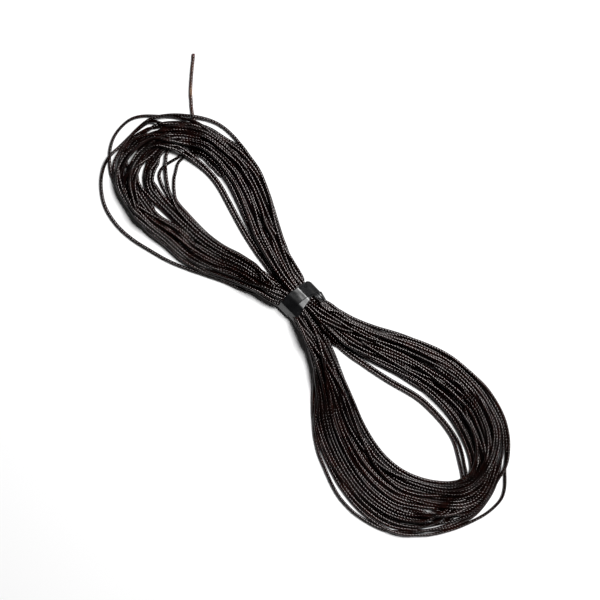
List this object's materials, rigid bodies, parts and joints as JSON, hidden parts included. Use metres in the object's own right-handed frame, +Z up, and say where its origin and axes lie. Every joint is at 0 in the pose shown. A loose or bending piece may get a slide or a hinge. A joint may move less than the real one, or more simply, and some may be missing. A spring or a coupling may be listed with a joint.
{
  "type": "waxed cord hank",
  "caption": "Hank of round waxed cord coiled into two open loops and bound at its waist by a wrapped strip of black film.",
  "frame": {"origin": "on the resting plane, under the middle of the tie", "axes": "+X along the hank towards its larger loop, +Z up from the surface it lies on, +Y across the hank"},
  "size_m": [0.1726, 0.0661, 0.0056],
  "materials": {
    "waxed_cord": "dark brown, waxed to a satin gloss",
    "black_film": "glossy black film, creased"
  },
  "bodies": {
    "root": {"cord_hank": "waxed_cord", "cord_free_end": "waxed_cord", "tie_strip": "black_film"}
  },
  "joints": []
}
